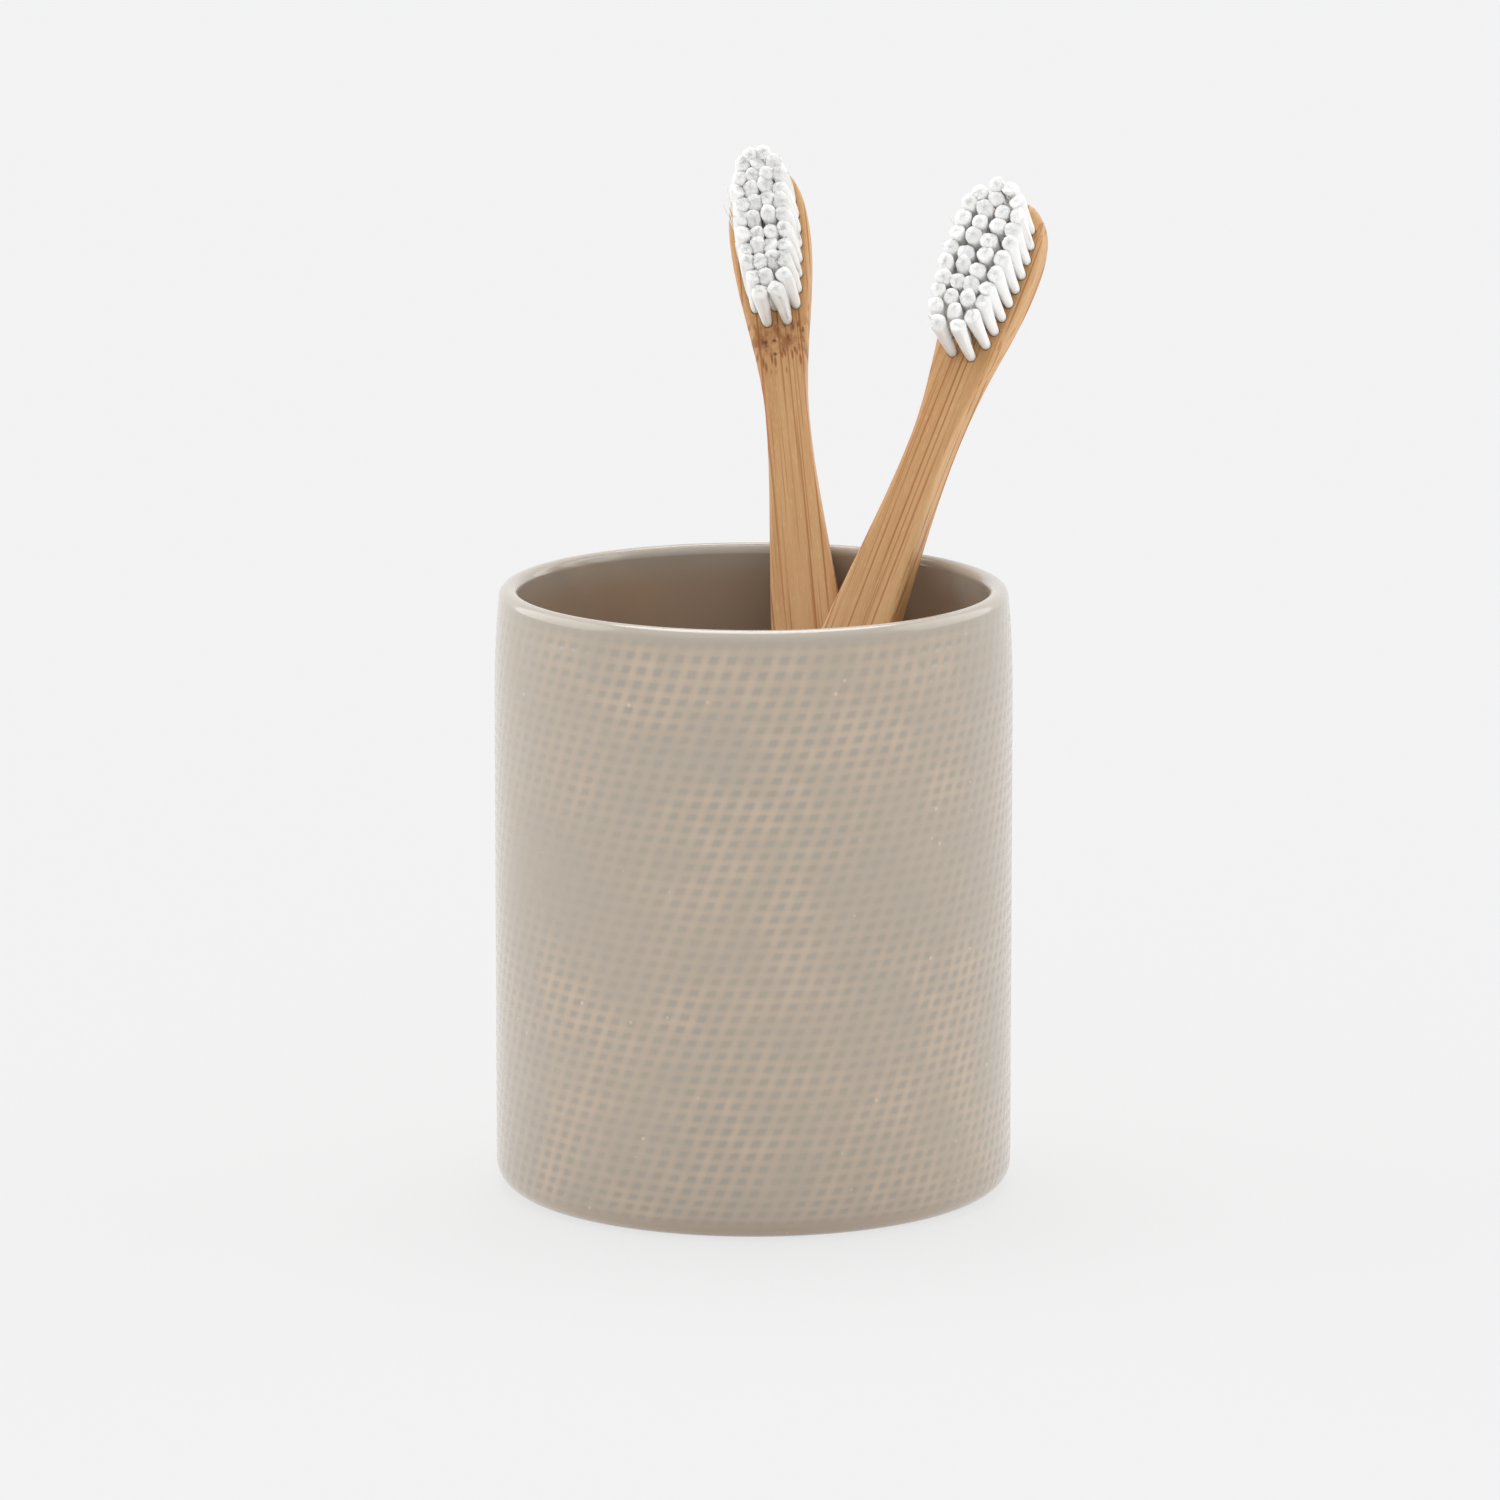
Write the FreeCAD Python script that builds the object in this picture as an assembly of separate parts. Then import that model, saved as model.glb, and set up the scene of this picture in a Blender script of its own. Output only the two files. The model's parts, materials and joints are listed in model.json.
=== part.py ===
import FreeCAD, Part
import math
import os

from FreeCAD import Matrix, Placement, Rotation, Vector

# A stoneware tumbler that holds toothbrushes, with two bamboo toothbrushes leaning in it.
# Millimetres, +Z up, front towards -Y, origin at the centre of the tumbler's foot.

# Tumbler
cup_radius = 40.0
cup_height = 94.2
cup_wall = 3.5
cup_floor = 4.4
cup_foot_round = 4.0
cup_inside_round = 5.0

# Toothbrush handle, flat front face, half widths measured across the front. The end of the head
# is fuller than a half ellipse: the fullness places its curves' control points, the power its widths.
brush_length = 170.7
handle_thickness = 5.6
handle_half_width = 5.8
neck_half_width = 3.35
head_half_width = 6.4
head_thickness = 4.4
head_widest_from_tip = 12.4
head_end_fullness = 0.64
head_end_power = 2.3
neck_from_tip = 42.7
shoulder_from_tip = 86.7
head_back_from_tip = 26.7
handle_edge_round = 0.9

# Bristle tufts, each folded over a flat metal anchor at the bottom of a blind hole
tuft_counts = (2, 3, 4, 4, 4, 4, 4, 4, 4, 3, 2)
tuft_first_from_tip = 2.05
tuft_row_pitch = 2.555
tuft_edge_margin = 1.95
tuft_widest_spacing = 3.2
tuft_tip_spacing = 2.1
tuft_diameter = 1.6
tuft_tip_diameter = 1.8
tuft_length = 10.8
tuft_hole_clearance = 0.05
tuft_hole_depth = 3.0
anchor_length = 2.1
anchor_thickness = 0.25
anchor_height = 1.4
anchor_fold = 0.5
anchor_turn = 40.0

# How each brush stands: angles round the tumbler of its rim contact and its foot (0 = +X,
# 90 = back), distance of the foot from the inside wall, gap to the rim, turn to the left.
floor_gap = 0.3
left_stand = dict(rim_angle=76.8, foot_angle=-56.5, foot_inset=6.7, rim_gap=0.4, turn=2.6)
right_stand = dict(rim_angle=45.0, foot_angle=-120.9, foot_inset=3.8, rim_gap=1.2, turn=25.8)

cup_inside_radius = cup_radius - cup_wall
head_z = brush_length - head_widest_from_tip
neck_z = brush_length - neck_from_tip
shoulder_z = brush_length - shoulder_from_tip
front_y = -handle_thickness / 2
back_y = handle_thickness / 2
head_back_y = front_y + head_thickness


def line(start, end):
    return Part.makeLine(start, end)


def arc(start, middle, end):
    return Part.Arc(start, middle, end).toShape()


def cubic(*poles):
    curve = Part.BezierCurve()
    curve.setPoles(list(poles))
    return curve.toShape()


def outline_face(edges):
    return Part.Face(Part.Wire(edges))


def quarter_point(centre, radius, angle):
    """Point at an angle in degrees on a circle in the XZ plane."""
    turn = math.radians(angle)
    return centre + Vector(radius * math.cos(turn), 0, radius * math.sin(turn))


def cup():
    """Turned tumbler: flat foot, rounded foot edge, straight wall, full round lip."""
    lip = cup_wall / 2
    foot_centre = Vector(cup_radius - cup_foot_round, 0, cup_foot_round)
    floor_centre = Vector(cup_inside_radius - cup_inside_round, 0, cup_floor + cup_inside_round)
    foot_start = Vector(foot_centre.x, 0, 0)
    wall_low = Vector(cup_radius, 0, cup_foot_round)
    wall_high = Vector(cup_radius, 0, cup_height - lip)
    lip_top = Vector(cup_radius - lip, 0, cup_height)
    inside_high = Vector(cup_inside_radius, 0, cup_height - lip)
    inside_low = Vector(cup_inside_radius, 0, floor_centre.z)
    floor_edge = Vector(floor_centre.x, 0, cup_floor)
    floor_middle = Vector(0, 0, cup_floor)
    origin = Vector(0, 0, 0)
    section = outline_face([
        line(origin, foot_start),
        arc(foot_start, quarter_point(foot_centre, cup_foot_round, -45), wall_low),
        line(wall_low, wall_high),
        arc(wall_high, lip_top, inside_high),
        line(inside_high, inside_low),
        arc(inside_low, quarter_point(floor_centre, cup_inside_round, -45), floor_edge),
        line(floor_edge, floor_middle),
        line(floor_middle, origin),
    ])
    return section.revolve(origin, Vector(0, 0, 1), 360)


def ease(start, end, share):
    """Height of the cubic that leaves and arrives level, a share of the way along."""
    return start + (end - start) * share * share * (3 - 2 * share)


def half_width(from_tip):
    """Half the width of the brush at a distance from the tip of its head."""
    if from_tip < head_widest_from_tip:
        share = 1 - from_tip / head_widest_from_tip
        return head_half_width * (1 - share ** head_end_power) ** (1 / head_end_power)
    if from_tip < neck_from_tip:
        share = (from_tip - head_widest_from_tip) / (neck_from_tip - head_widest_from_tip)
        return ease(head_half_width, neck_half_width, share)
    share = (from_tip - neck_from_tip) / (shoulder_from_tip - neck_from_tip)
    return ease(neck_half_width, handle_half_width, min(1, share))


def level_cubic(start, end):
    """Cubic between two points that leaves and arrives along the brush."""
    third = Vector(0, 0, (end.z - start.z) / 3)
    return cubic(start, start + third, end - third, end)


def brush_outline():
    """Front view of the brush, from its round foot to the full rounded end of its head."""
    foot_z = handle_half_width
    points = {}
    for side in (-1, 1):
        points[side] = [
            Vector(side * handle_half_width, front_y, foot_z),
            Vector(side * handle_half_width, front_y, shoulder_z),
            Vector(side * neck_half_width, front_y, neck_z),
            Vector(side * head_half_width, front_y, head_z),
        ]
    tip = Vector(0, front_y, brush_length)
    rise = Vector(0, 0, head_end_fullness * head_widest_from_tip)
    reach = Vector(head_end_fullness * head_half_width, 0, 0)
    right, left = points[1], points[-1]
    return outline_face([
        arc(left[0], Vector(0, front_y, 0), right[0]),
        line(right[0], right[1]),
        level_cubic(right[1], right[2]),
        level_cubic(right[2], right[3]),
        cubic(right[3], right[3] + rise, tip + reach, tip),
        cubic(tip, tip - reach, left[3] + rise, left[3]),
        level_cubic(left[3], left[2]),
        level_cubic(left[2], left[1]),
        line(left[1], left[0]),
    ])


def brush_side():
    """Side view of the brush: flat front, and a back that eases in to the thinner head."""
    reach = max(handle_half_width, head_half_width) + handle_edge_round
    x = -reach
    foot_front = Vector(x, front_y, 0)
    foot_back = Vector(x, back_y, 0)
    neck_back = Vector(x, back_y, neck_z)
    head_back = Vector(x, head_back_y, brush_length - head_back_from_tip)
    tip_back = Vector(x, head_back_y, brush_length)
    tip_front = Vector(x, front_y, brush_length)
    side = outline_face([
        line(foot_front, foot_back),
        line(foot_back, neck_back),
        level_cubic(neck_back, head_back),
        line(head_back, tip_back),
        line(tip_back, tip_front),
        line(tip_front, foot_front),
    ])
    return side.extrude(Vector(2 * reach, 0, 0))


def rim_edges(solid):
    """Edges that run round the front and the back of the brush."""
    chosen = []
    for edge in solid.Edges:
        box = edge.BoundBox
        runs_across = box.ZLength < handle_edge_round / 10
        runs_through = box.YLength > head_thickness / 2
        if not runs_across and not runs_through:
            chosen.append(edge)
    return chosen


def tuft_places():
    """Rows of (x, z) hole centres on the front of the head, from the tip down."""
    rows = []
    for number, count in enumerate(tuft_counts):
        from_tip = tuft_first_from_tip + number * tuft_row_pitch
        widest = 2 * (half_width(from_tip) - tuft_edge_margin) / (count - 1)
        usual = tuft_tip_spacing if number == 0 else tuft_widest_spacing
        spacing = min(widest, usual)
        first = -spacing * (count - 1) / 2
        rows.append([(first + i * spacing, brush_length - from_tip) for i in range(count)])
    return rows


def tuft_anchor(x, z):
    """Flat plate across a hole, held by the bamboo at both ends."""
    deepest = front_y + tuft_hole_depth - anchor_fold
    plate = Part.makeBox(anchor_length, anchor_height, anchor_thickness)
    plate.translate(Vector(-anchor_length / 2, deepest - anchor_height, -anchor_thickness / 2))
    plate.rotate(Vector(0, 0, 0), Vector(0, 1, 0), anchor_turn)
    plate.translate(Vector(x, 0, z))
    return plate


def tuft_hole(x, z):
    """Blind hole, with the nick that its anchor cuts on both sides."""
    radius = tuft_diameter / 2 + tuft_hole_clearance
    hole = Part.makeCylinder(radius, tuft_hole_depth, Vector(x, front_y, z), Vector(0, 1, 0))
    return hole.fuse(tuft_anchor(x, z))


def tuft(x, z):
    """Bundle of bristles: a plug that fills its hole, and the free length, a little splayed."""
    root = Part.makeCylinder(
        tuft_diameter / 2, tuft_hole_depth, Vector(x, front_y, z), Vector(0, 1, 0))
    free = Part.makeCone(
        tuft_diameter / 2, tuft_tip_diameter / 2, tuft_length, Vector(x, front_y, z), Vector(0, -1, 0))
    return root.fuse(free).removeSplitter().cut(tuft_anchor(x, z))


def brush_handle():
    body = brush_outline().extrude(Vector(0, handle_thickness, 0)).common(brush_side())
    body = body.removeSplitter()
    body = body.makeFillet(handle_edge_round, rim_edges(body))
    holes = [tuft_hole(x, z) for row in tuft_places() for x, z in row]
    return body.cut(holes)


def brush_pieces():
    """Pieces of one brush about its own axis: foot at z = 0, bristles towards -Y."""
    pieces = {"handle": brush_handle()}
    rows = tuft_places()
    pieces["anchors"] = Part.makeCompound([tuft_anchor(x, z) for row in rows for x, z in row])
    for number, row in enumerate(rows, 1):
        pieces["tuft_row_%02d" % number] = Part.makeCompound([tuft(x, z) for x, z in row])
    return pieces


def on_circle(radius, angle, z):
    turn = math.radians(angle)
    return Vector(radius * math.cos(turn), radius * math.sin(turn), z)


def brush_axes(axis, turn):
    """Across, towards the back and along directions of a brush with this axis."""
    front = Vector(0, -1, 0)
    front = front - axis * front.dot(axis)
    front.normalize()
    front = Rotation(axis, -turn).multVec(front)
    back = front * -1
    return back.cross(axis), back, axis


def rim_seat_radius(across, back, axis, rim_angle, gap):
    """Distance of a brush's axis from the tumbler's centre line where it crosses the rim, so
    that the full width of its handle clears the rim by the gap."""
    outward = on_circle(1, rim_angle, 0)
    sideways = on_circle(1, rim_angle + 90, 0)
    limit = cup_inside_radius - gap - handle_edge_round
    radius = limit
    for side in (-1, 1):
        for face in (-1, 1):
            corner = across * side * (handle_half_width - handle_edge_round)
            corner = corner + back * face * (handle_thickness / 2 - handle_edge_round)
            level = corner - axis * (corner.z / axis.z)
            reach = math.sqrt(limit ** 2 - level.dot(sideways) ** 2) - level.dot(outward)
            radius = min(radius, reach)
    return radius


def foot_rise(back, axis):
    """Height of the middle of a leaning brush's foot above the lowest point of its edge."""
    flat = handle_thickness / 2 - handle_edge_round
    edge_z = axis.z * handle_edge_round - abs(back.z) * flat
    return handle_edge_round * math.hypot(axis.z, back.z) - edge_z


def brush_stand(stand):
    """Placement of a brush whose foot is on the floor and whose back is against the rim."""
    foot_radius = cup_inside_radius - stand["foot_inset"]
    rim_radius = cup_inside_radius
    rise = 0
    for _ in range(12):
        foot = on_circle(foot_radius, stand["foot_angle"], cup_floor + floor_gap + rise)
        axis = on_circle(rim_radius, stand["rim_angle"], cup_height) - foot
        axis.normalize()
        across, back, axis = brush_axes(axis, stand["turn"])
        rise = foot_rise(back, axis)
        rim_radius = rim_seat_radius(across, back, axis, stand["rim_angle"], stand["rim_gap"])
    placed = Matrix(
        across.x, back.x, axis.x, foot.x,
        across.y, back.y, axis.y, foot.y,
        across.z, back.z, axis.z, foot.z,
        0, 0, 0, 1)
    return Placement(placed)


def main():
    nodes = {"cup": cup()}
    pieces = brush_pieces()
    for side, stand in (("left", left_stand), ("right", right_stand)):
        placement = brush_stand(stand)
        for name, shape in pieces.items():
            copy = shape.copy()
            copy.Placement = placement
            nodes["%s_brush_%s" % (side, name)] = copy
        axis = placement.Rotation.multVec(Vector(0, 0, 1))
        print(side, "brush foot", tuple(placement.Base), "axis", tuple(axis))
    os.makedirs("parts", exist_ok=True)
    for name, shape in nodes.items():
        shape.exportStep(os.path.join("parts", name + ".step"))


main()
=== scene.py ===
import json
import math
import random

import bmesh
import bpy
import numpy as np
from mathutils import Matrix, Vector, noise


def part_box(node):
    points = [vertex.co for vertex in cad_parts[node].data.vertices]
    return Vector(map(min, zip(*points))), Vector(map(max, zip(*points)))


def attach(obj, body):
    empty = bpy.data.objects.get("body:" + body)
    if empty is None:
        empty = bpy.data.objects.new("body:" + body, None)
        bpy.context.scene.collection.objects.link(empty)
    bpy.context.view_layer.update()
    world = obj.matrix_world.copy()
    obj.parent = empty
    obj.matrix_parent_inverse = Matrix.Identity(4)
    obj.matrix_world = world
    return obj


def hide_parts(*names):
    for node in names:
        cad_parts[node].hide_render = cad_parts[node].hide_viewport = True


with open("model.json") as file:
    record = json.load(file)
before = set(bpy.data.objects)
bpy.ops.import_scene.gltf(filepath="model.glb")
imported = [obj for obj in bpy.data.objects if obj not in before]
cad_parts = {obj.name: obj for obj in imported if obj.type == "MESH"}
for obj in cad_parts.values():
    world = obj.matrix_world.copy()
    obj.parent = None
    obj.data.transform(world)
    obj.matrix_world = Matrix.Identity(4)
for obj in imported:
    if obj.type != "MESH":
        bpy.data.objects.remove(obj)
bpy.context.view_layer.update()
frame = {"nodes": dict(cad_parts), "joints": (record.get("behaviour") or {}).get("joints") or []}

MM = 0.001


def srgb(red, green, blue):
    """A colour as it is seen on a screen, 0 to 255, in the linear values that the shaders take."""
    def linear(part):
        part = part / 255
        return part / 12.92 if part <= 0.04045 else ((part + 0.055) / 1.055) ** 2.4
    return (linear(red), linear(green), linear(blue), 1.0)


def ease(value, low, high):
    """Goes smoothly from 0 at low to 1 at high; low may be the larger."""
    t = np.clip((value - low) / (high - low), 0.0, 1.0)
    return t * t * (3 - 2 * t)


class Wire:
    """One socket's value in a node tree. Sums on wires add Math nodes."""

    def __init__(self, nodes, socket):
        self.nodes = nodes
        self.socket = socket

    def math(self, operation, *values):
        return self.nodes.put("ShaderNodeMath", {"operation": operation}, dict(enumerate(values)))

    def __add__(self, other):
        return self.math("ADD", self, other)

    def __sub__(self, other):
        return self.math("SUBTRACT", self, other)

    def __rsub__(self, other):
        return self.math("SUBTRACT", other, self)

    def __mul__(self, other):
        return self.math("MULTIPLY", self, other)

    __radd__ = __add__
    __rmul__ = __mul__

    def cosine(self):
        return self.math("COSINE", self)

    def ease(self, low, high):
        """Goes smoothly from 0 at low to 1 at high; low may be the larger."""
        flip = low > high
        ends = (high, low) if flip else (low, high)
        sockets = {"Value": self, "From Min": ends[0], "From Max": ends[1]}
        sockets.update({"To Min": float(flip), "To Max": float(not flip)})
        return self.nodes.put("ShaderNodeMapRange", {"interpolation_type": "SMOOTHSTEP"}, sockets)


class Nodes:
    """A node tree that is filled node by node."""

    def __init__(self, tree):
        self.tree = tree
        tree.nodes.clear()

    def put(self, kind, settings=None, sockets=None, out=0):
        """Adds a node of that kind, sets it, fills its sockets and gives one of its outputs."""
        node = self.tree.nodes.new(kind)
        for name, value in (settings or {}).items():
            setattr(node, name, value)
        for key, value in (sockets or {}).items():
            if isinstance(key, int):
                socket = node.inputs[key]
            else:
                socket = next(s for s in node.inputs if s.name == key and s.enabled)
            if isinstance(value, Wire):
                self.tree.links.new(value.socket, socket)
            else:
                socket.default_value = value
        outputs = [s for s in node.outputs if s.enabled]
        if not outputs:
            return None
        if isinstance(out, str):
            return Wire(self, next(s for s in outputs if s.name == out))
        return Wire(self, outputs[out])

    def others(self, wire, *names):
        """More outputs of the node that a wire comes from."""
        outputs = wire.socket.node.outputs
        return [Wire(self, outputs[name]) for name in names]

    def dot(self, vector, along):
        settings = {"operation": "DOT_PRODUCT"}
        return self.put("ShaderNodeVectorMath", settings, {0: vector, 1: along}, out="Value")

    def distance(self, vector, place):
        settings = {"operation": "DISTANCE"}
        return self.put("ShaderNodeVectorMath", settings, {0: vector, 1: place}, out="Value")

    def point(self, x, y, z):
        return self.put("ShaderNodeCombineXYZ", None, {"X": x, "Y": y, "Z": z})

    def parts(self, vector):
        x = self.put("ShaderNodeSeparateXYZ", None, {"Vector": vector}, out="X")
        return [x] + self.others(x, "Y", "Z")

    def mix(self, share, first, second):
        """The first colour where the share is 0, the second where it is 1."""
        settings = {"data_type": "RGBA", "clamp_factor": True}
        return self.put("ShaderNodeMix", settings, {"Factor": share, "A": first, "B": second})

    def clouds(self, vector, scale, detail=2.0, roughness=0.5):
        sockets = {"Vector": vector, "Scale": scale, "Detail": detail, "Roughness": roughness}
        return self.put("ShaderNodeTexNoise", None, sockets, out="Fac")

    def cells(self, x, y):
        """How far a place is from the nearest of scattered points, about one to a unit square."""
        sockets = {"Vector": self.point(x, y, 0.0), "Scale": 1.0, "Randomness": 1.0}
        return self.put("ShaderNodeTexVoronoi", {"voronoi_dimensions": "2D"}, sockets, out="Distance")

    def lines(self, place):
        """How far a place is from the nearest of scattered lines, about one to a unit."""
        sockets = {"W": place, "Scale": 1.0, "Randomness": 1.0}
        return self.put("ShaderNodeTexVoronoi", {"voronoi_dimensions": "1D"}, sockets, out="Distance")

    def place(self):
        return self.put("ShaderNodeTexCoord", out="Object")

    def painted(self, name):
        """A value that each point of the mesh carries."""
        return self.put("ShaderNodeAttribute", {"attribute_name": name}, out="Fac")

    def seen(self):
        """1 for the camera, reflections and clear things, 0 for light that falls on a surface."""
        camera_ray = self.put("ShaderNodeLightPath", out="Is Camera Ray")
        glossy_ray, clear_ray = self.others(camera_ray, "Is Glossy Ray", "Is Transmission Ray")
        return camera_ray + glossy_ray + clear_ray


class Finish(Nodes):
    """A material that ends in one surface shader."""

    def __init__(self, name):
        self.material = bpy.data.materials.new(name)
        self.material.use_nodes = True
        super().__init__(self.material.node_tree)

    def end(self, shader):
        self.put("ShaderNodeOutputMaterial", None, {"Surface": shader})
        return self.material

    def surface(self, sockets):
        return self.end(self.put("ShaderNodeBsdfPrincipled", None, sockets))


def piece(name, points, faces, body, finish):
    """A new piece of mesh, smooth, that moves with a body."""
    mesh = bpy.data.meshes.new(name)
    mesh.from_pydata(points, [], faces)
    mesh.polygons.foreach_set("use_smooth", np.ones(len(mesh.polygons), bool))
    mesh.materials.append(finish)
    made = bpy.data.objects.new(name, mesh)
    bpy.context.scene.collection.objects.link(made)
    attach(made, body)
    return made


def paint(made, name, values):
    """Gives each point of a piece a value that its finish can use."""
    attribute = made.data.attributes.new(name, "FLOAT", "POINT")
    attribute.data.foreach_set("value", np.asarray(values, np.float32))


# The tumbler, in millimetres.
cup_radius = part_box("cup")[1].x / MM
cup_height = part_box("cup")[1].z / MM
cup_wall = 3.5
cup_floor = 4.4
foot_round = 4.0
inside_round = 5.0
neck_in = 0.7
neck_height = 16.0
mouth_in = 0.25
lip_round = (cup_wall - neck_in + mouth_in) / 2
lip_height = cup_height - lip_round
throwing_ripple = 0.03
# Radii of the rings on the flat floor inside and on the flat foot, as shares of the flat part's.
floor_ring_shares = (0.75, 0.5, 0.25, 0.08)
foot_ring_shares = (0.30, 0.60, 0.85, 0.96)

# The woven dimples that are pressed into its outside.
dimples_round = 97
dimple_rise = 1.94
first_dimple_height = 4.75
dimple_lean = 0.382
dimple_stretch = 0.05
row_bow = 1.2
row_bow_angle = math.radians(12)
dimple_depth = 0.17
steps_each_way = 4
columns = dimples_round * steps_each_way
# How the columns and rows of dimples waver: how far, the size of a waver, and where its drift starts.
column_wavers = ((0.16, 9, 3), (0.06, 3, 7))
row_wavers = ((0.16, 8, 21), (0.05, 3, 40))
# Heights between which the weave fades in above the foot, and how far below the lip it fades out.
weave_starts = (1.6, 3.4)
weave_ends = (-0.3, 1.8)
waver_starts = (1.0, 9.0)
waver_ends = 8
# Places where the glaze is thick and nearly hides the weave:
# degrees from the front, height, half sizes both ways, and how much is hidden.
thick_glaze = (
    (-50, 53, 26, 11, 0.72),
    (38, 54, 15, 9, 0.6),
    (-62, 80, 18, 16, 0.5),
    (66, 88, 20, 8, 0.5),
    (-72, 22, 14, 18, 0.4),
    (128, 60, 24, 14, 0.8),
    (-150, 34, 26, 12, 0.8),
    (170, 78, 20, 9, 0.6),
    (95, 20, 16, 9, 0.6),
)


def wander(angle, height, scale, start):
    """Soft random drift over the outside, from about -1 to 1."""
    ring = cup_radius / scale
    drift = [noise.noise(Vector((ring * math.sin(a) + start, ring * math.cos(a), h / scale)))
             for a, h in zip(angle.flat, height.flat)]
    return np.array(drift).reshape(angle.shape)


def waver(angle, height, wavers):
    return sum(far * wander(angle, height, size, start) for far, size, start in wavers)


def weave_shown(angle, height):
    """How much of the weave shows through the glaze, from 0 to 1."""
    shown = np.ones_like(angle)
    for turn, middle, half_turn, half_height, share in thick_glaze:
        away = (np.degrees(angle) - turn + 180) % 360 - 180
        spot = (away / half_turn) ** 2 + ((height - middle) / half_height) ** 2
        shown = shown * (1 - share * np.exp(-spot))
    shown = np.clip(shown * (0.9 + 0.45 * wander(angle, height, 10, 0)), 0, 1)
    near_lip = ease(height, lip_height - weave_ends[0], lip_height - weave_ends[1])
    return shown * ease(height, *weave_starts) * near_lip


def outside_rings():
    """Rings of the outside from the edge of the flat foot up to the lip, with the dimples sunk in.

    The points follow the leaning columns and bowed rows of the weave, as many to each dimple.
    """
    arc = foot_round * math.pi / 2
    length = arc + lip_height - foot_round
    count = round(length / dimple_rise * steps_each_way)
    level = np.linspace(0, length, count + 1)[:, None]
    row = (level - arc + foot_round - first_dimple_height) / dimple_rise
    column = np.arange(columns)[None, :] / steps_each_way
    turn = column * (2 * math.pi / dimples_round)
    along, front = np.broadcast_arrays(level, turn + dimple_stretch * np.cos(turn))
    height = foot_round - arc + along
    free = ease(height, *waver_starts) * ease(height, lip_height, lip_height - waver_ends)
    sway = waver(front, height, column_wavers)
    angle = front + (dimple_lean * height + free * sway) / cup_radius
    bow = -row_bow * np.cos(angle - row_bow_angle)
    along = along + free * (bow + waver(front, height, row_wavers))
    bent = np.clip(along / arc, 0, 1) * math.pi / 2
    radius = cup_radius - foot_round + foot_round * np.sin(bent)
    height = np.where(along < arc, foot_round * (1 - np.cos(bent)), foot_round - arc + along)
    shown = weave_shown(angle, height)
    dimple = ease(np.cos(2 * math.pi * column), -1, 1) * ease(np.cos(2 * math.pi * row), -1, 1)
    neck = neck_in * np.clip(1 - (lip_height - height) / neck_height, 0, 1) ** 2
    radius = radius - neck - dimple_depth * shown * dimple
    points = np.stack([radius * np.sin(angle), -radius * np.cos(angle), height], -1)
    return points, row[:, 0], shown, angle


def plain_rings(profile, angle):
    """Smooth rings at the radii and heights of a profile."""
    rings = []
    for radius, height in profile:
        level = np.full_like(angle, height)
        rings.append(np.stack([radius * np.sin(angle), -radius * np.cos(angle), level], -1))
    return np.array(rings)


def lip_profile(steps=14):
    middle = cup_radius - neck_in - lip_round
    turns = [math.pi * k / steps for k in range(1, steps + 1)]
    return [(middle + lip_round * math.cos(a), lip_height + lip_round * math.sin(a)) for a in turns]


def inside_profile(wall_steps=24, corner_steps=7):
    """Radii and heights from under the lip down the smooth inside to near the middle of the floor."""
    inner = cup_radius - cup_wall
    bottom = cup_floor + inside_round
    profile = []
    for k in range(1, wall_steps + 1):
        z = lip_height + (bottom - lip_height) * k / wall_steps
        ripple = throwing_ripple * math.sin(0.55 * z + 2 * math.sin(0.13 * z))
        ripple = ripple * ease(k, 0, 3) * ease(k, wall_steps, wall_steps - 3)
        drawn_in = mouth_in * ease(z, lip_height - neck_height, lip_height)
        profile.append((inner + ripple - drawn_in, z))
    for k in range(1, corner_steps + 1):
        a = math.pi / 2 * k / corner_steps
        profile.append((inner - inside_round * (1 - math.cos(a)), bottom - inside_round * math.sin(a)))
    return profile + [(share * (inner - inside_round), cup_floor) for share in floor_ring_shares]


def weave_map(mesh, rows):
    """A UV map that counts dimples round the tumbler and up it."""
    corner = np.zeros(len(mesh.loops), np.int64)
    mesh.loops.foreach_get("vertex_index", corner)
    ring = np.minimum(corner // columns, len(rows) - 1)
    column = corner % columns
    quads = column[:(len(rows) - 1) * columns * 4].reshape(-1, 4)
    wraps = (quads.max(1) == columns - 1) & (quads.min(1) == 0)
    quads[wraps] = np.where(quads[wraps] == 0, columns, quads[wraps])
    weave = mesh.uv_layers.new(name="weave")
    places = np.stack([column / steps_each_way, rows[ring]], -1)
    weave.data.foreach_set("uv", places.astype(np.float32).ravel())


def tumbler(finish):
    outside, rows, shown, angle = outside_rings()
    flat = cup_radius - foot_round
    under = [(share * flat, 0.0) for share in foot_ring_shares]
    above = lip_profile() + inside_profile()
    rings = np.concatenate([plain_rings(under, angle[0]), outside, plain_rings(above, angle[-1])])
    count = len(rings)
    points = np.concatenate([rings.reshape(-1, 3), [[0, 0, 0], [0, 0, cup_floor]]]) * MM
    this = np.arange(columns)
    after = (this + 1) % columns
    faces = []
    for ring in range(count - 1):
        low, high = ring * columns, (ring + 1) * columns
        faces += np.stack([low + this, low + after, high + after, high + this], -1).tolist()
    under_middle, floor_middle = count * columns, count * columns + 1
    last = (count - 1) * columns
    faces += [(under_middle, int(b), int(a)) for a, b in zip(this, after)]
    faces += [(floor_middle, int(last + a), int(last + b)) for a, b in zip(this, after)]
    made = piece("tumbler", points.tolist(), faces, "cup", finish)
    rows_below, rows_above = np.full(len(under), rows[0]), np.full(len(above), rows[-1])
    weave_map(made.data, np.concatenate([rows_below, rows, rows_above]))
    plain_below, plain_above = np.zeros((len(under), columns)), np.zeros((len(above), columns))
    share = np.concatenate([plain_below, shown, plain_above]).ravel()
    paint(made, "weave_share", np.append(share, [0, 0]))
    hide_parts("cup")


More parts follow.
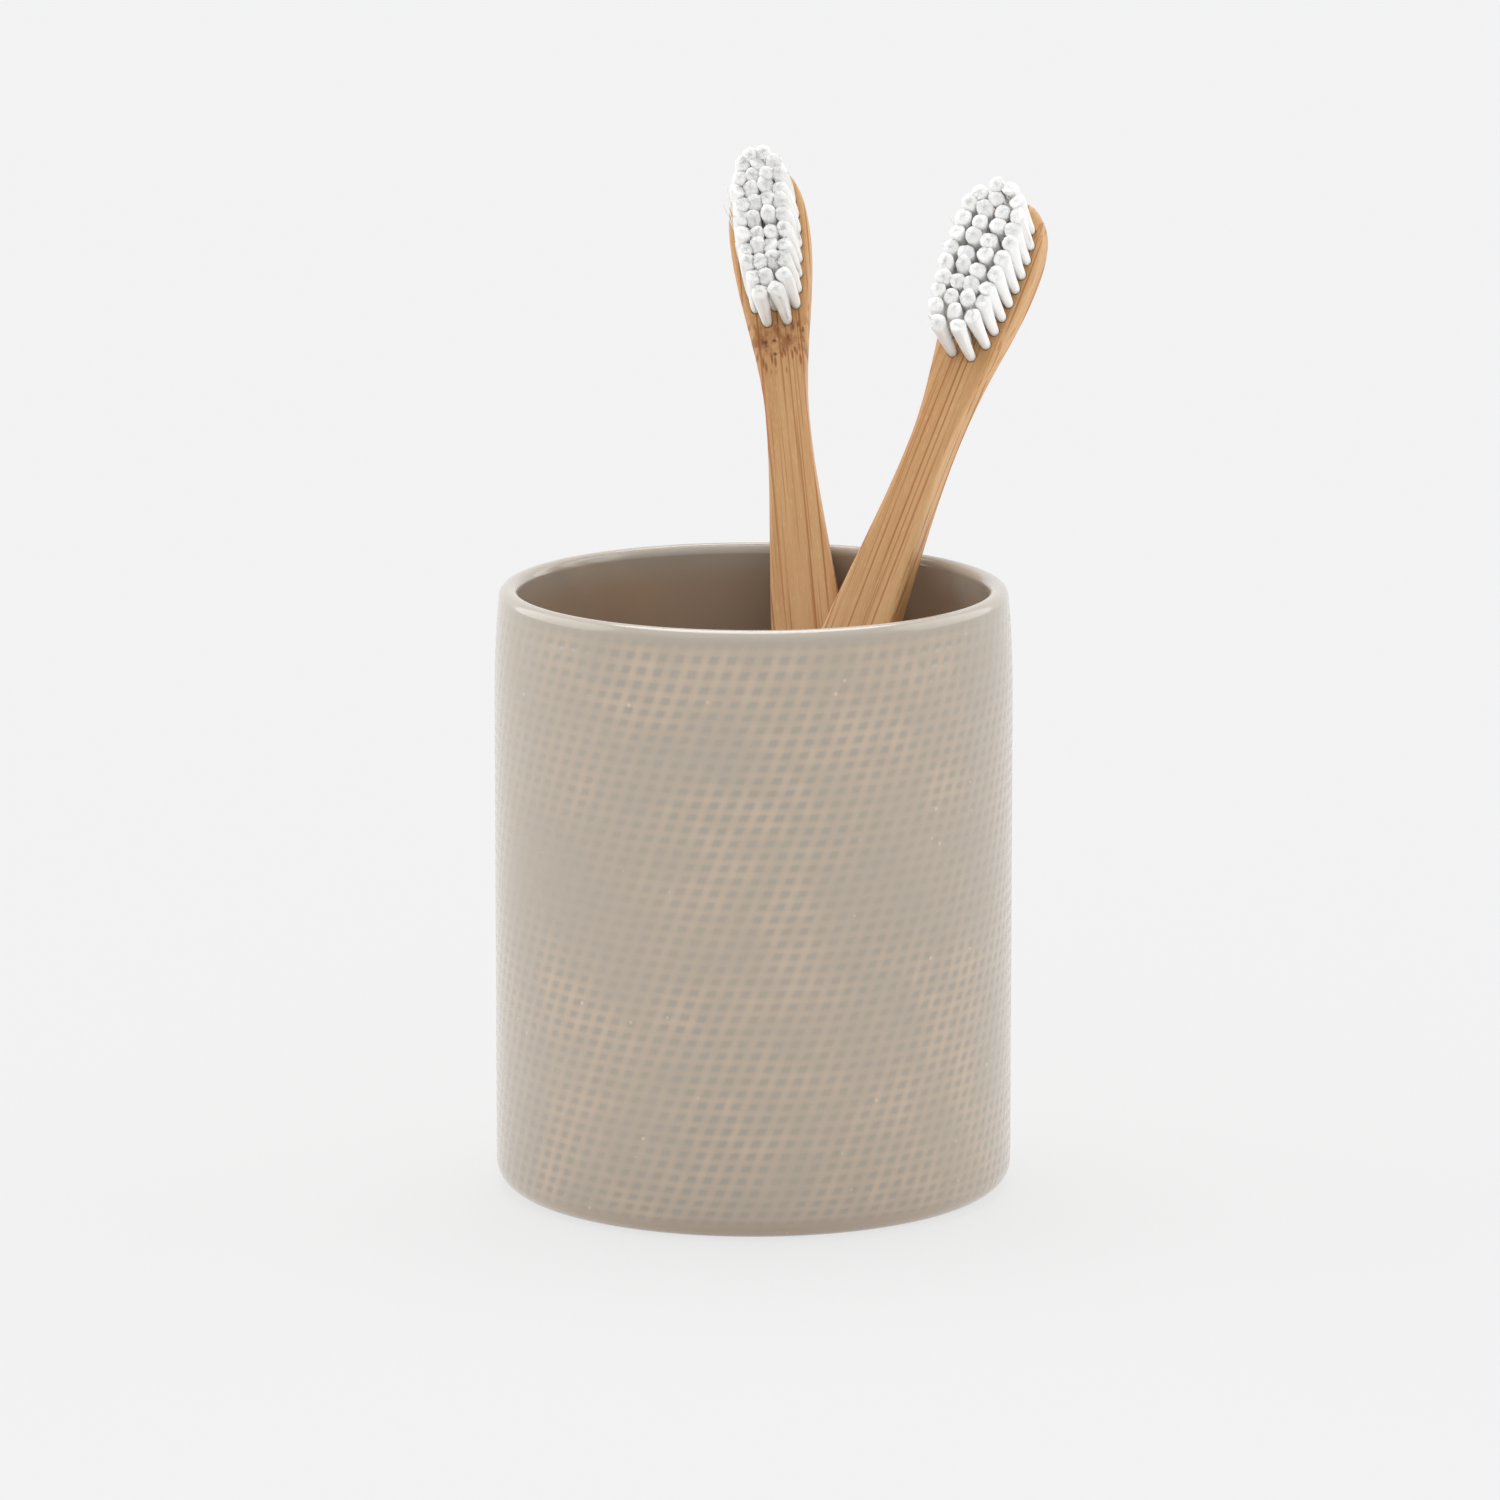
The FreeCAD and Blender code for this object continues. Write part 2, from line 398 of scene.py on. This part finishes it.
# The colours of the glaze, and of the clay where the foot is wiped bare.
glaze_pooled = (srgb(155, 146, 134), srgb(160, 150, 136))
glaze_thin = srgb(188, 168, 147)
glaze_thick = srgb(167, 156, 142)
glaze_speck = srgb(190, 176, 157)
# The lip's colour: partly the glaze thinning over the lip, partly a painted highlight of the light from
# above.
glaze_lip_thin_and_highlight = srgb(192, 185, 174)
glaze_foot = srgb(186, 160, 132)
# Pale specks painted as glints of light on the glaze.
painted_glint_colour = srgb(226, 216, 200)
glaze_inside = (srgb(163, 142, 122), srgb(169, 149, 129))
bare_clay = srgb(203, 184, 160)
# Where the inside's own colour takes over: the radius, and how far below the lip, in millimetres.
inside_radius = (37.1, 36.6)
inside_below_lip = (0.8, 5.0)


def stoneware_glaze():
    """Warm grey glaze, thin and beige on the weave's crests, cooler where it pools in the dimples."""
    glaze = Finish("stoneware_glaze")
    spot = glaze.place()
    x, y, height = glaze.parts(spot)
    column, row, _ = glaze.parts(glaze.put("ShaderNodeUVMap", {"uv_map": "weave"}))
    shown = glaze.painted("weave_share")
    turn = 2 * math.pi
    upright_thread = (column * turn).cosine().ease(0.7, -1.0)
    level_thread = (row * turn).cosine().ease(0.7, -1.0)
    broad = glaze.clouds(spot, 38, 3.0).ease(0.3, 0.7)
    fine = glaze.clouds(spot, 420, 2.0)
    uneven = glaze.clouds(spot, 230, 2.0).ease(0.25, 0.75)
    crest = 1 - (1 - 0.75 * upright_thread) * (1 - 0.65 * level_thread)
    thin = crest * shown * (0.52 + 0.4 * uneven)
    colour = glaze.mix(broad, *glaze_pooled)
    colour = glaze.mix(thin, colour, glaze_thin)
    colour = glaze.mix((1 - shown) * 0.7, colour, glaze_thick)
    colour = glaze.mix(fine.ease(0.55, 0.8) * 0.1, colour, glaze_speck)
    # The lip is painted lighter: partly thinner glaze, partly a painted highlight.
    lip = height.ease((lip_height - 0.2) * MM, (lip_height + 0.9) * MM)
    colour = glaze.mix(lip * 0.3, colour, glaze_lip_thin_and_highlight)
    foot = height.ease(3.6 * MM, 0.8 * MM)
    colour = glaze.mix(foot * 0.6, colour, glaze_foot)
    # Sparse tiny pale specks: painted glints of light.
    from_glint = glaze.put("ShaderNodeTexVoronoi", {"feature": "F1"},
                         {"Vector": spot, "Scale": 330.0}, out="Distance")
    glint = from_glint.ease(0.13, 0.06) * glaze.clouds(spot, 150, 0.0).ease(0.58, 0.66)
    colour = glaze.mix(glint * 0.3, colour, painted_glint_colour)
    outer_square, inner_square = [(radius * MM) ** 2 for radius in inside_radius]
    top, full = [(lip_height - below) * MM for below in inside_below_lip]
    inside = (x * x + y * y).ease(outer_square, inner_square) * height.ease(1 * MM, 3 * MM)
    inside = inside * height.ease(top, full)
    colour = glaze.mix(inside, colour, glaze.mix(broad, *glaze_inside))
    bare = height.ease(0.6 * MM, 0.1 * MM)
    colour = glaze.mix(bare, colour, bare_clay)
    roughness = 0.15 + 0.06 * crest + 0.06 * (fine - 0.5) + 0.6 * bare
    ripple = glaze.clouds(spot, 160, 2.0)
    bump = glaze.put("ShaderNodeBump", None,
                     {"Strength": 0.08, "Distance": 0.4 * MM, "Height": ripple})
    return glaze.surface({"Base Color": colour, "Roughness": roughness, "Normal": bump, "IOR": 1.5,
                          "Coat Weight": 0.6, "Coat Roughness": 0.06, "Coat IOR": 1.5})


# The brushes, in millimetres, in the frame of each brush: across, to the back, and from foot to tip.
handle_thickness = 5.6
tuft_rows = 11
brush_turn = {"left": 2.6, "right": 25.8}
brush_grain = {"left": 3.7, "right": 11.2}
# The joint of the cane that one handle was cut across, measured from the tip.
cane_joint = {"left": (26.8, 36.6)}
# Its dark eyes: across the handle, and from the joint's first edge.
cane_eyes = ((-0.75, 4.0), (-0.85, 6.3), (-2.1, 4.1))
bamboo_tones = (srgb(192, 145, 94), srgb(207, 165, 115))
bamboo_fibre = srgb(182, 130, 78)
bamboo_fleck = srgb(226, 192, 146)
bamboo_streak = srgb(158, 92, 38)
bamboo_thread = srgb(160, 96, 42)
cane_stain = srgb(140, 82, 36)
cane_spot = srgb(112, 62, 30)
cane_dash = srgb(140, 78, 36)
cane_eye = srgb(84, 48, 28)


class Brush:
    """Where one brush stands, read from its packed handle."""

    def __init__(self, side):
        self.side = side
        self.body = side + "_brush"
        joint = next(j for j in frame["joints"] if j["child"] == self.body)
        self.axis = Vector(joint["axis"]).normalized()
        front = Vector((0, -1, 0))
        front = (front - front.dot(self.axis) * self.axis).normalized()
        front = Matrix.Rotation(-math.radians(brush_turn[side]), 3, self.axis) @ front
        self.back = -front
        self.across = self.back.cross(self.axis)
        handle = frame["nodes"][self.body + "_handle"]
        self.frame = np.array([self.across, self.back, self.axis])
        corners = np.array([v.co for v in handle.data.vertices]) @ self.frame.T / MM
        low, high = corners.min(0), corners.max(0)
        self.foot = np.array([(low[0] + high[0]) / 2, low[1] + handle_thickness / 2, low[2]])
        self.length = high[2] - low[2]

    def local(self, points):
        return points @ self.frame.T / MM - self.foot

    def placed(self, points):
        return (points + self.foot) @ self.frame * MM


def cane_marks(wood, colour, x, z, first, last):
    """The joint of the cane: reddish stains and spots, then short dashes towards the foot."""
    dashes_start = first + 0.62 * (last - first)
    band = z.ease(first, first + 2.0) * z.ease(dashes_start + 1.0, dashes_start - 0.5)
    stain = wood.clouds(wood.point(x * 0.6, z * 0.28, 4.0), 1.0, 3.0, 0.65).ease(0.40, 0.62)
    colour = wood.mix(stain * band * 0.75, colour, cane_stain)
    spot = wood.cells(x * 1.1 + 7, z * 0.42).ease(0.34, 0.1)
    some = wood.clouds(wood.point(x * 0.8, z * 0.5, 9.0), 1.0, 1.0).ease(0.44, 0.56)
    colour = wood.mix(spot * some * band * 0.8, colour, cane_spot)
    row = z.ease(dashes_start - 0.8, dashes_start + 0.4) * z.ease(last + 0.4, last - 1.2)
    dash = wood.cells(x * 1.35 + 2.3, z * 0.27 + 0.2).ease(0.36, 0.14)
    colour = wood.mix(dash * row * 0.85, colour, cane_dash)
    for across, below in cane_eyes:
        from_eye = wood.distance(wood.point(x, z, 0.0), (across, first + below, 0.0))
        colour = wood.mix(from_eye.ease(0.42, 0.16) * 0.85, colour, cane_eye)
    return colour


def bamboo(brush):
    """Bamboo cut along its fibres: tan wood, thin darker bundles along it, a satin oil finish."""
    wood = Finish("bamboo_" + brush.side)
    start = brush_grain[brush.side]
    spot = wood.place()
    x = wood.dot(spot, brush.across / MM) - float(brush.foot[0])
    y = wood.dot(spot, brush.back / MM) - float(brush.foot[1])
    z = wood.dot(spot, brush.axis / MM) - float(brush.foot[2])
    sway = wood.clouds(wood.point(x * 0.05 + start, y * 0.05, z * 0.012), 1.0, 1.0)
    grain_x = x + 1.8 * (sway - 0.5)
    tone = wood.clouds(wood.point(grain_x * 0.32 + start, y * 0.32, z * 0.018), 1.0, 2.0)
    colour = wood.mix(tone.ease(0.3, 0.7), *bamboo_tones)
    fibre = wood.clouds(wood.point(grain_x * 5.5, y * 5.5 + start, z * 0.11), 1.0, 3.0, 0.6)
    colour = wood.mix(fibre.ease(0.35, 0.75) * 0.32, colour, bamboo_fibre)
    fleck = wood.clouds(wood.point(grain_x * 7.0 + start, y * 7.0, z * 0.7), 1.0, 1.0)
    colour = wood.mix(fleck.ease(0.55, 0.75) * 0.3, colour, bamboo_fleck)
    broken = wood.clouds(wood.point(grain_x * 1.1, y * 1.1 + start, z * 0.022), 1.0, 2.0)
    streak = wood.lines(grain_x * 0.75 + y * 0.3 + start).ease(0.15, 0.05)
    streak = streak * broken.ease(0.38, 0.54)
    colour = wood.mix(streak * 0.75, colour, bamboo_streak)
    broken = wood.clouds(wood.point(grain_x * 1.9 + start, y * 1.9, z * 0.045), 1.0, 1.0)
    thread = wood.lines(grain_x * 1.7 - y * 0.6 + start).ease(0.2, 0.06)
    thread = thread * broken.ease(0.48, 0.62)
    colour = wood.mix(thread * 0.6, colour, bamboo_thread)
    if brush.side in cane_joint:
        first, last = cane_joint[brush.side]
        colour = cane_marks(wood, colour, grain_x, float(brush.length) - z, first, last)
    roughness = 0.46 + 0.16 * (fibre - 0.5) + 0.1 * streak
    groove = fibre * -0.6 - streak
    bump = wood.put("ShaderNodeBump", None,
                    {"Strength": 0.25, "Distance": 0.1 * MM, "Height": groove})
    return wood.surface({"Base Color": colour, "Roughness": roughness, "Normal": bump, "IOR": 1.46})


def anchor_brass():
    brass = Finish("anchor_brass")
    spot = brass.place()
    tarnish = brass.clouds(spot, 900, 3.0)
    colour = brass.mix(tarnish.ease(0.35, 0.7), srgb(212, 184, 116), srgb(168, 132, 74))
    drawn = brass.clouds(spot, 4000, 1.0)
    roughness = 0.28 + 0.2 * tarnish + 0.1 * drawn
    return brass.surface({"Base Color": colour, "Metallic": 1.0, "Roughness": roughness})


nylon_whites = (srgb(235, 236, 235), srgb(244, 243, 240))
# Painted shade and warm light reflected off the bamboo, near the roots of the tufts.
nylon_root_painted_shade = srgb(214, 196, 170)


def nylon(name, glow_depth):
    """White filaments, each a little warmer or cooler, with painted shade near the roots; light goes some
    way into a packed bundle.
    """
    white = Finish(name)
    strand = white.painted("strand")
    reach = white.painted("reach")
    colour = white.mix(strand, *nylon_whites)
    # Towards the root each tuft is painted darker and warmer: painted shade and light reflected off the
    # bamboo.
    colour = white.mix(reach.ease(0.22, 0.06) * 0.35, colour, nylon_root_painted_shade)
    roughness = 0.5 + 0.14 * strand
    sockets = {"Base Color": colour, "Roughness": roughness, "IOR": 1.53}
    if glow_depth:
        sockets.update({"Subsurface Weight": 0.85, "Subsurface Radius": (1, 1, 1)})
        sockets["Subsurface Scale"] = glow_depth * MM
    return white.surface(sockets)


# Bristles, in millimetres. The left brush is the more worn: its tufts lean to one side and fray.
bundle_glow_depth = 0.8
flutes = 22
flute_depth = 0.06
root_radius = 0.72
root_depth = 1.0
tip_radius = {"left": 1.28, "right": 1.32}
tip_squareness = {"left": 0.5, "right": 0.4}
tip_rounding = {"left": 0.3, "right": 0.25}
tip_slant = {"left": 0.35, "right": 0.3}
cut_unevenness = {"left": 0.1, "right": 0.09}
most_cut_short = {"left": 0.6, "right": 0.5}
tip_lean = {"left": -0.25, "right": -0.1}
tip_gather = {"left": -0.26, "right": 0.0}
tip_wander = {"left": 0.22, "right": 0.17}
# How far the tips lean towards the end of the head, row by row from that end; the last value goes on.
tip_rise = {"left": (-0.7, 0.1, 0.7, 1.3), "right": (0.0, 0.3, 0.6)}
# The rings of a bundle: shares of its length up the side, then shares of its half width over the end.
side_steps = (0.0, 0.12, 0.3, 0.5, 0.7, 0.82, 0.9)
end_shares = (0.98, 0.9, 0.76, 0.58, 0.36, 0.12)
# Loose filaments: how many to a tuft, how far they stray, and their rings as shares of length and girth.
loose_filaments = {"left": 2.5, "right": 0.6}
loose_wander = 0.8
loose_most_short = 0.5
loose_from_middle = 0.95
filament_radius = 0.085
filament_sides = 5
filament_steps = (0.3, 0.65, 0.95, 0.985, 1.0)
filament_girths = (1.0, 1.0, 1.0, 0.8, 0.35)


class Bristles:
    """Rods gathered into one mesh, with a shade for each point and how far along its rod it is."""

    def __init__(self):
        self.points = []
        self.faces = []
        self.strand = []
        self.reach = []
        self.free = []

    def rod(self, rings, reach, strand, free):
        """Adds a closed rod through rings of points, with a reach to each ring and a shade to each side."""
        first, sides, before = len(self.points), len(rings[0]), len(self.faces)
        for ring, share in zip(rings, reach):
            self.points += ring
            self.strand += strand
            self.reach += [share] * sides
        for low in range(first, first + (len(rings) - 1) * sides, sides):
            for k in range(sides):
                a, b = low + k, low + (k + 1) % sides
                self.faces.append((a, b, b + sides, a + sides))
        last = first + (len(rings) - 1) * sides
        self.faces.append(tuple(first + k for k in reversed(range(sides))))
        self.faces.append(tuple(last + k for k in range(sides)))
        self.free += [free] * (len(self.faces) - before)


class Tuft:
    """One bundle of filaments, packed from the root to its uneven cut end, with a few loose ones."""

    def __init__(self, draw, side, row, across, along, tip):
        self.draw = draw
        self.side = side
        self.across = across
        self.along = along
        self.root = -handle_thickness / 2 + root_depth
        self.tip = tip
        self.cut = tip + draw.uniform(0, most_cut_short[side])
        self.turned = draw.uniform(0, math.pi / 2)
        self.slant = (draw.gauss(0, tip_slant[side]), draw.gauss(0, tip_slant[side]))
        sideways = tip_lean[side] + tip_gather[side] * across + draw.gauss(0, tip_wander[side])
        rises = tip_rise[side]
        lengthways = rises[min(row, len(rises)) - 1] + draw.gauss(0, tip_wander[side])
        self.lean = (sideways, lengthways)
        self.spread = tip_radius[side] * draw.uniform(0.92, 1.06) - root_radius

    def place(self, step, out, around, end, stray=(0, 0)):
        """A point at a share of the length: out from the middle, as a share of the half width there."""
        bend = step ** 2
        facing = around - self.turned
        corner = (math.cos(facing) ** 4 + math.sin(facing) ** 4) ** -0.25
        square = 1 + tip_squareness[self.side] * step * (corner - 1)
        radius = out * square * (root_radius + self.spread * step ** 1.2)
        across = self.across + (self.lean[0] + stray[0]) * bend + radius * math.cos(around)
        along = self.along + (self.lean[1] + stray[1]) * bend + radius * math.sin(around)
        return (across, self.root + (end - self.root) * step, along)

    def packed(self, bristles):
        """The bundle, fluted by the filaments on its outside and rough where they are cut."""
        draw, sides = self.draw, 2 * flutes
        turns = [2 * math.pi * (k + draw.uniform(-0.3, 0.3)) / sides for k in range(sides)]
        depths = [1 - (k % 2) * draw.uniform(0.5, 1.5) * flute_depth for k in range(sides)]
        rings = []
        for step in side_steps:
            rings.append([self.place(step, d, a, self.cut) for a, d in zip(turns, depths)])
        for out in end_shares:
            ring = []
            for a, d in zip(turns, depths):
                end = self.cut + tip_rounding[self.side] * out ** 4
                end += out * (self.slant[0] * math.cos(a) + self.slant[1] * math.sin(a))
                end += abs(draw.gauss(0, cut_unevenness[self.side]))
                ring.append(self.place(1.0, out * d, a, max(end, self.tip)))
            rings.append(ring)
        reach = side_steps + (1.0,) * len(end_shares)
        bristles.rod(rings, reach, [draw.random() for _ in range(sides)], False)

    def loose(self, bristles):
        """A filament that has sprung out of the bundle."""
        draw = self.draw
        stray = (draw.gauss(0, loose_wander), draw.gauss(0, loose_wander))
        around, end = draw.uniform(0, 2 * math.pi), self.tip + draw.uniform(0, loose_most_short)
        shade = draw.random()
        turns = [2 * math.pi * k / filament_sides for k in range(filament_sides)]
        rings = []
        for step, girth in zip(filament_steps, filament_girths):
            across, level, along = self.place(step, loose_from_middle, around, end, stray)
            wide = filament_radius * girth
            rings.append([(across + wide * math.cos(a), level, along + wide * math.sin(a)) for a in turns])
        bristles.rod(rings, filament_steps, [shade] * filament_sides, True)

    def fray(self, bristles):
        for _ in range(int(loose_filaments[self.side] + self.draw.random())):
            self.loose(bristles)


def tuft_places(brush, node):
    """Across, along and the tip's level of each tuft of a packed row."""
    solid = bmesh.new()
    solid.from_mesh(frame["nodes"][node].data)
    bmesh.ops.remove_doubles(solid, verts=solid.verts, dist=1e-6)
    seen, found = set(), []
    for start in solid.verts:
        if start in seen:
            continue
        island, edge = [], [start]
        seen.add(start)
        while edge:
            v = edge.pop()
            island.append(v.co[:])
            for e in v.link_edges:
                w = e.other_vert(v)
                if w not in seen:
                    seen.add(w)
                    edge.append(w)
        local = brush.local(np.array(island))
        low, high = local.min(0), local.max(0)
        found.append(((low[0] + high[0]) / 2, (low[2] + high[2]) / 2, low[1]))
    solid.free()
    return sorted(found)


def bristle_row(brush, row, bundle_finish, end_finish):
    node = "%s_tuft_row_%02d" % (brush.body, row)
    draw = random.Random("%s %d" % (brush.side, row))
    bristles = Bristles()
    for across, along, tip in tuft_places(brush, node):
        tuft = Tuft(draw, brush.side, row, across, along, tip)
        tuft.packed(bristles)
        tuft.fray(bristles)
    points = brush.placed(np.array(bristles.points)).tolist()
    name = "%s_bristles_%02d" % (brush.side, row)
    made = piece(name, points, bristles.faces, brush.body, bundle_finish)
    made.data.materials.append(end_finish)
    made.data.polygons.foreach_set("material_index", np.array(bristles.free, np.int32))
    paint(made, "strand", bristles.strand)
    paint(made, "reach", bristles.reach)
    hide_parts(node)


def dress(node, finish):
    """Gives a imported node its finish."""
    slots = frame["nodes"][node].data.materials
    slots.clear()
    slots.append(finish)


tumbler(stoneware_glaze())
brass = anchor_brass()
bundle = nylon("nylon_bundle", bundle_glow_depth)
loose_end = nylon("nylon_filament", 0)
for side in ("left", "right"):
    brush = Brush(side)
    dress(brush.body + "_handle", bamboo(brush))
    dress(brush.body + "_anchors", brass)
    for row in range(1, tuft_rows + 1):
        bristle_row(brush, row, bundle, loose_end)


# The studio: a pale floor that runs into a pale surround of the same brightness.
surround = srgb(242, 242, 242)
surround_light = 0.70
paper_tone = srgb(235, 235, 235)
paper_whites = (srgb(242, 242, 242), srgb(244, 244, 244))
lit_share = 0.13
floor_reach = 12.0
floor_level = -0.00004
# The camera, in metres and radians; its focal length is in pixels of a picture this wide.
camera_focal = 9894.5
picture_width = 1500
camera_sensor = 36
camera_far_end = 100
camera_place = (0, -1.5, 0.3677)
camera_tilt = 0.197
camera_turn = 0.00037
# Each lamp's strength and its width, azimuth from the front to the right and elevation in degrees.
lamps = {
    "left_lamp": (1.15, 64, -106, 20),
    "right_lamp": (0.95, 64, 106, 20),
    "front_lamp": (0.3, 90, 0, 40),
    "top_lamp": (1.6, 44, 180, 68),
}


def pale_floor():
    """Matt paper. The camera sees mostly its own even tone, and a share of the light on it."""
    paper = Finish("pale_floor")
    grain = paper.clouds(paper.place(), 3.0, 1.0)
    colour = paper.mix(grain, *paper_whites)
    lit = paper.put("ShaderNodeBsdfDiffuse", None, {"Color": colour})
    even = paper.put("ShaderNodeEmission", None, {"Color": paper_tone})
    share = paper.seen() * (1 - lit_share)
    both = paper.put("ShaderNodeMixShader", None, {0: share, 1: lit, 2: even})
    mesh = bpy.data.meshes.new("floor")
    signs = ((-1, -1), (1, -1), (1, 1), (-1, 1))
    corners = [(x * floor_reach, y * floor_reach, floor_level) for x, y in signs]
    mesh.from_pydata(corners, [], [(0, 1, 2, 3)])
    mesh.materials.append(paper.end(both))
    made = bpy.data.objects.new("floor", mesh)
    bpy.context.scene.collection.objects.link(made)


def soft_surround():
    world = bpy.data.worlds.new("studio")
    world.use_nodes = True
    tent = Nodes(world.node_tree)
    light = tent.put("ShaderNodeBackground", None, {"Color": (1, 1, 1, 1), "Strength": surround_light})
    shown = tent.put("ShaderNodeBackground", None, {"Color": surround, "Strength": 1.0})
    both = tent.put("ShaderNodeMixShader", None, {0: tent.seen(), 1: light, 2: shown})
    tent.put("ShaderNodeOutputWorld", None, {"Surface": both})
    bpy.context.scene.world = world


def lamp(name, strength, width, azimuth, elevation):
    """A wide soft lamp far away."""
    light = bpy.data.lights.new(name, "SUN")
    light.energy = strength
    light.angle = math.radians(width)
    made = bpy.data.objects.new(name, light)
    a, e = math.radians(azimuth), math.radians(elevation)
    towards = Vector((math.sin(a) * math.cos(e), -math.cos(a) * math.cos(e), math.sin(e)))
    made.rotation_euler = towards.to_track_quat("Z", "Y").to_euler()
    bpy.context.scene.collection.objects.link(made)


def camera():
    lens = bpy.data.cameras.new("camera")
    lens.sensor_width = camera_sensor
    lens.lens = camera_sensor * camera_focal / picture_width
    lens.clip_end = camera_far_end
    made = bpy.data.objects.new("camera", lens)
    made.location = camera_place
    made.rotation_euler = (math.pi / 2 - camera_tilt, 0, camera_turn)
    bpy.context.scene.collection.objects.link(made)
    bpy.context.scene.camera = made


pale_floor()
soft_surround()
for name, settings in lamps.items():
    lamp(name, *settings)
camera()
bpy.context.scene.view_settings.view_transform = "Standard"
